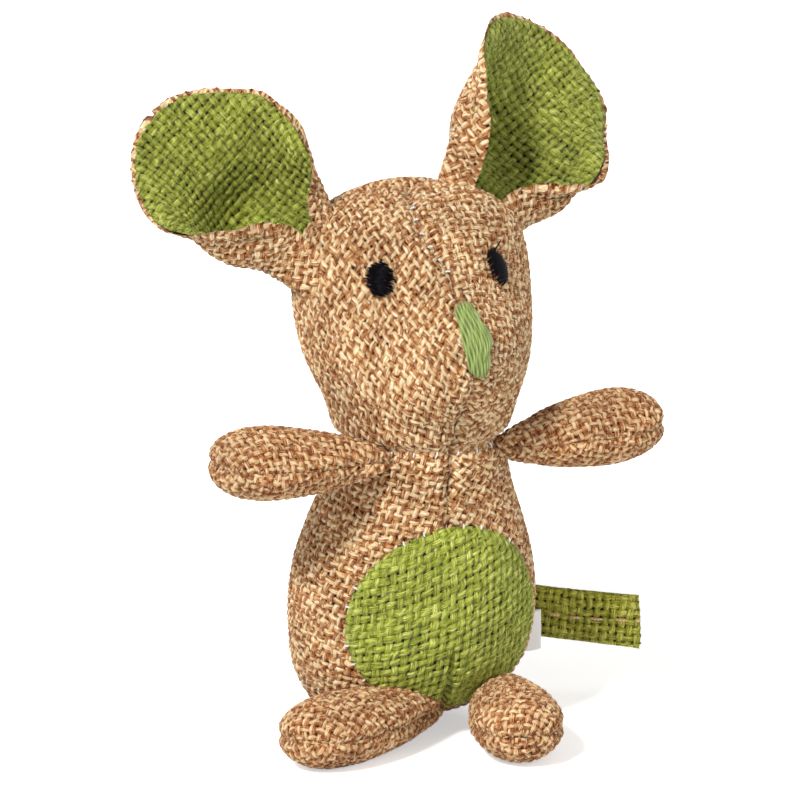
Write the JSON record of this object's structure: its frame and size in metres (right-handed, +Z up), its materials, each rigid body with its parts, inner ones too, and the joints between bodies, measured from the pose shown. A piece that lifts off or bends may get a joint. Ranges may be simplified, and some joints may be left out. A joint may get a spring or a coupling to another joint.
{
  "type": "stuffed toy mouse",
  "caption": "Sitting stuffed mouse in coarse linen, with cupped ears, stub arms and feet, an oval belly patch and a strap tail.",
  "frame": {"origin": "middle of the body's pressed base, on the surface the toy sits on", "axes": "+Z up; the toy faces -Y; its own left side is +X"},
  "size_m": [0.1073, 0.0725, 0.1378],
  "materials": {
    "linen": "coarse heathered basket weave, matte",
    "green_linen": "coarse heathered basket weave, matte",
    "black_floss": "satin stitch, slight sheen",
    "green_floss": "satin stitch, slight sheen",
    "label_tape": "smooth woven tape, blank",
    "stuffing": "loose polyester fibre",
    "bulb_plastic": "soft blow-moulded, satin",
    "reed_plastic": "hard moulded"
  },
  "bodies": {
    "torso": {"body_cover": "linen", "body_filling_front": "stuffing", "body_filling_back": "stuffing", "squeaker_bulb": "bulb_plastic", "squeaker_reed": "reed_plastic", "belly_patch": "green_linen", "care_label": "label_tape"},
    "head": {"head_cover": "linen", "head_filling": "stuffing", "left_eye": "black_floss", "right_eye": "black_floss", "nose": "green_floss"},
    "left_ear": {"left_ear_back": "linen", "left_ear_lining": "green_linen"},
    "right_ear": {"right_ear_back": "linen", "right_ear_lining": "green_linen"},
    "left_arm": {"left_arm_cover": "linen", "left_arm_filling": "stuffing"},
    "right_arm": {"right_arm_cover": "linen", "right_arm_filling": "stuffing"},
    "left_foot": {"left_foot_cover": "linen", "left_foot_filling": "stuffing"},
    "right_foot": {"right_foot_cover": "linen", "right_foot_filling": "stuffing"},
    "tail": {"tail_strap": "green_linen"}
  },
  "joints": [
    {"name": "head_nod", "type": "hinge", "parent": "torso", "child": "head", "pos_m": [0, -0.014, 0.06949], "axis": [1, 0, 0], "range_deg": [-12, 12], "stiffness_Nm_per_rad": 0.08},
    {"name": "left_ear_fold", "type": "hinge", "parent": "head", "child": "left_ear", "pos_m": [0.0185, -0.00033, 0.1056], "axis": [0.6578, -0.1266, -0.7425], "range_deg": [-20, 24], "stiffness_Nm_per_rad": 0.01},
    {"name": "right_ear_fold", "type": "hinge", "parent": "head", "child": "right_ear", "pos_m": [-0.02401, -0.00421, 0.09986], "axis": [0.7716, 0.1796, 0.6103], "range_deg": [-20, 24], "stiffness_Nm_per_rad": 0.01},
    {"name": "left_arm_swing", "type": "hinge", "parent": "torso", "child": "left_arm", "pos_m": [0.0194, -0.0244, 0.06], "axis": [0, 1, 0], "range_deg": [-50, 40], "stiffness_Nm_per_rad": 0.01},
    {"name": "right_arm_swing", "type": "hinge", "parent": "torso", "child": "right_arm", "pos_m": [-0.0194, -0.0244, 0.06], "axis": [0, -1, 0], "range_deg": [-50, 40], "stiffness_Nm_per_rad": 0.01},
    {"name": "left_foot_splay", "type": "hinge", "parent": "torso", "child": "left_foot", "pos_m": [0.01548, -0.01854, 0.0064], "axis": [0, 0, 1], "range_deg": [-5, 40], "stiffness_Nm_per_rad": 0.01},
    {"name": "right_foot_splay", "type": "hinge", "parent": "torso", "child": "right_foot", "pos_m": [-0.00508, -0.02243, 0.0064], "axis": [0, 0, -1], "range_deg": [-35, 5], "stiffness_Nm_per_rad": 0.01},
    {"name": "tail_swing", "type": "hinge", "parent": "torso", "child": "tail", "pos_m": [0, 0.01114, 0.0186], "axis": [0, 0, 1], "range_deg": [-8, 40], "stiffness_Nm_per_rad": 0.005}
  ]
}
